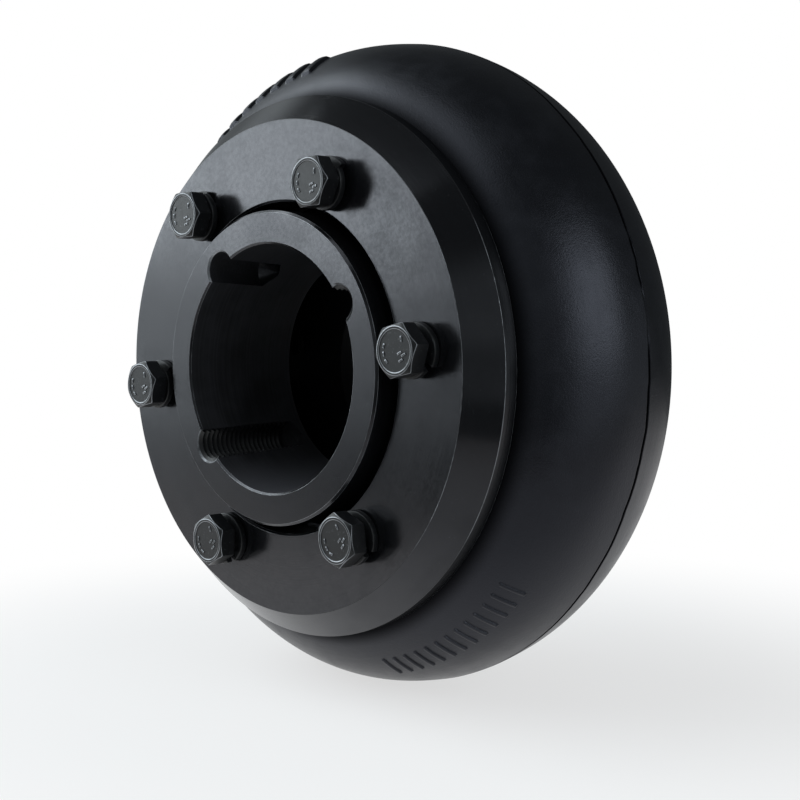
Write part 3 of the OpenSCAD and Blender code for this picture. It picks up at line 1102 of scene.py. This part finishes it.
class COUPLING_OT_stage(bpy.types.Operator):
    """Sets up the camera, the pale floor, the soft lamps and the white surroundings"""

    bl_idname = "coupling.stage"
    bl_label = "Stage"

    def execute(self, context):
        stage = context.scene.coupling_stage
        self.camera(context.scene, stage)
        self.world(context.scene, stage)
        floor = self.floor(stage)
        # Name, place, width and height in metres, level, tint and roll in degrees
        lamps = [
            self.lamp("main_lamp", (-0.990, -0.612, 0.67), 1.26, 1.20, stage.lamp, stage.lamp_tint, -14),
            self.lamp("top_lamp", (-0.30, -0.72, 1.02), 1.20, 0.80, stage.top_lamp, stage.lamp_tint),
            self.lamp("side_lamp", (1.18, -0.03, 0.41), 0.90, 0.72, stage.side_lamp, stage.lamp_tint),
        ]
        context.scene.view_settings.view_transform = "Standard"
        return {"FINISHED"}

    @staticmethod
    def camera(scene, stage):
        """The camera, which looks along the way from its stand to the middle and is then moved aside."""
        a, e = stage.azimuth, stage.elevation
        back = Vector((math.sin(a) * math.cos(e), -math.cos(a) * math.cos(e), math.sin(e)))
        right = Vector((math.cos(a), math.sin(a), 0))
        data = bpy.data.cameras.new("camera")
        data.lens = stage.lens
        data.sensor_width = 36
        data.clip_start = 0.02
        camera = place_object("camera", data)
        camera.location = back * stage.distance + right * stage.aside + back.cross(right) * stage.lift
        camera.rotation_euler = (-back).to_track_quat("-Z", "Y").to_euler()
        scene.camera = camera

    @staticmethod
    def seen(start):
        """Two values: 1 for rays from the camera, and 1 for rays from a shiny or clear surface."""
        path = start.node("ShaderNodeLightPath", output="Is Camera Ray")
        shiny = path.math("MAXIMUM", path.output("Is Glossy Ray"), path.output("Is Transmission Ray"))
        return path, shiny

    def world(self, scene, stage):
        """White to the camera, and to shiny parts a dim room with a white backdrop and lit walls."""
        world = bpy.data.worlds.new("white_room")
        world.use_nodes = True
        world.node_tree.nodes.clear()
        scene.world = world
        start = Value(world.node_tree)
        x, y, height = start.node("ShaderNodeTexCoord", output="Generated").parts()
        low = 0.5 * height.ramp(-0.21, -0.16) + 0.5 * height.ramp(0.09, 0.15)
        low = low * height.fade(0.45, 0.65) * toward(x, y, stage.azimuth - RIGHT_ANGLE).ramp(0.0, 0.7)
        white = toward(x, y, stage.backdrop).ramp(0.62, 0.84) * height.fade(0.6, 0.85)
        white = white * (0.55 + 0.45 * height.fade(0.08, 0.30))
        white = white * (1 - 0.8 * y.ramp(0.22, 0.42) * height.ramp(0.05, 0.20))
        wall = toward(x, y, stage.wall_turn)
        wall = wall.ramp(0.78, 0.90) * (0.55 + 0.45 * wall.ramp(0.88, 0.98))
        wall = wall * height.ramp(-0.092, -0.072) * height.fade(0.10, 0.30)
        right = toward(x, y, stage.right_turn).ramp(0.848, 0.968) * height.fade(0.10, 0.30)
        side = toward(x, y, stage.side_turn).ramp(0.84, 0.93)
        side = side * height.ramp(-0.62, -0.45) * height.fade(-0.12, -0.02)
        camera, shiny = self.seen(start)
        level = stage.overhead + low * (stage.room - stage.overhead)
        level = level + (1 - level) * white + stage.wall * wall + stage.room * (right + 2.4 * side)
        level = camera + (1 - camera) * (shiny * level + (1 - shiny) * stage.fill)
        hue = camera.mix(stage.lamp_tint, (1, 1, 1))
        glow = start.node("ShaderNodeBackground", {"Color": hue, "Strength": level})
        start.node("ShaderNodeOutputWorld", {"Surface": glow})

    def floor(self, stage):
        """A round floor, cut short on the camera's side, that looks white and is dimmer to shiny parts."""
        front_turn = stage.azimuth - RIGHT_ANGLE
        half = math.acos(stage.floor_front / stage.floor_radius)
        sweep = math.tau - 2 * half
        turns = [front_turn + half + sweep * k / ROUND_STEPS for k in range(ROUND_STEPS + 1)]
        size, low = stage.floor_radius, CAD_BOX[0].z
        rim = [(size * math.cos(a), size * math.sin(a), low) for a in turns]
        mesh = bpy.data.meshes.new("floor")
        mesh.from_pydata(rim, [], [range(len(rim))])
        material, start = new_material("floor_white")
        camera, shiny = self.seen(start)
        place = start.node("ShaderNodeTexCoord", output="Object")
        away = place.node("ShaderNodeVectorMath", {0: place}, "Value", operation="LENGTH")
        x, y, _ = place.parts()
        front = toward(x, y, front_turn)
        edge = front.ramp(0.45 * stage.floor_front, 0.95 * stage.floor_front)
        white = away.ramp(0.16, 0.34)
        white = stage.floor_glow + (1 - stage.floor_glow) * white.math("MAXIMUM", white, edge)
        behind = (toward(x, y, stage.backdrop) / away).ramp(0.62, 0.84)
        corner = (toward(x, y, stage.corner_turn) / away).ramp(0.945, 0.99)
        far = away.ramp(0.20, 0.60) * (1 - camera)
        near = (1 - camera) * (0.5 * front.ramp(0.07, 0.15) + 0.15 * front.ramp(0.15, 0.32))
        dim = 1 - near - (1 - near) * far * (stage.floor_dim * (1 - behind) + 0.54 * corner)
        seen = camera.math("MAXIMUM", camera, shiny) * white
        matt = start.node("ShaderNodeBsdfDiffuse", {"Color": (*stage.floor, 1)})
        glow = start.node("ShaderNodeEmission", {"Color": (1, 1, 1, 1), "Strength": dim})
        both = start.node("ShaderNodeMixShader", {0: seen, 1: matt, 2: glow})
        start.node("ShaderNodeOutputMaterial", {"Surface": both})
        mesh.materials.append(material)
        return place_object("floor", mesh)

    @staticmethod
    def lamp(name, place, wide, tall, level, tint, roll=0):
        """A soft lamp that faces the middle of the object; level is its brightness."""
        data = bpy.data.lights.new(name, "AREA")
        data.shape = "RECTANGLE"
        data.size, data.size_y = wide, tall
        data.energy = level * math.pi * wide * tall
        data.color = tint
        lamp = place_object(name, data)
        lamp.location = place
        facing = (-Vector(place)).to_track_quat("-Z", "Y").to_matrix()
        lamp.rotation_euler = (facing @ Matrix.Rotation(math.radians(roll), 3, "Z")).to_euler()
        lamp.visible_camera = False
        return lamp


class COUPLING_PT_sidebar(bpy.types.Panel):
    """Sizes and steps of the tyre coupling"""

    bl_label = "Tyre Coupling"
    bl_idname = "COUPLING_PT_sidebar"
    bl_space_type = "VIEW_3D"
    bl_region_type = "UI"
    bl_category = "Coupling"

    def draw(self, context):
        for operator in OPERATORS:
            self.layout.operator(operator.bl_idname)
        for label, group in GROUPS.items():
            box = self.layout.box()
            settings = getattr(context.scene, label)
            for name in group.__annotations__:
                box.prop(settings, name)


GROUPS = {
    "coupling_tyre": CouplingTyre,
    "coupling_metal": CouplingMetal,
    "coupling_screws": CouplingScrews,
    "coupling_looks": CouplingLooks,
    "coupling_stage": CouplingStage,
}
OPERATORS = (
    COUPLING_OT_tyre,
    COUPLING_OT_flanges,
    COUPLING_OT_clamp_rings,
    COUPLING_OT_spring_washers,
    COUPLING_OT_screws,
    COUPLING_OT_stage,
)
CLASSES = (*GROUPS.values(), *OPERATORS, COUPLING_PT_sidebar)


def register():
    """Adds the classes and puts the settings on the scene."""
    for cls in CLASSES:
        bpy.utils.register_class(cls)
    for label, group in GROUPS.items():
        setattr(bpy.types.Scene, label, bpy.props.PointerProperty(type=group))


def unregister():
    """Takes away what register added."""
    for label in GROUPS:
        delattr(bpy.types.Scene, label)
    for cls in reversed(CLASSES):
        bpy.utils.unregister_class(cls)


def main():
    """Builds every piece and the stage."""
    register()
    bpy.ops.coupling.tyre()
    bpy.ops.coupling.flanges()
    bpy.ops.coupling.clamp_rings()
    bpy.ops.coupling.spring_washers()
    bpy.ops.coupling.screws()
    bpy.ops.coupling.stage()


if __name__ == "__main__":
    main()
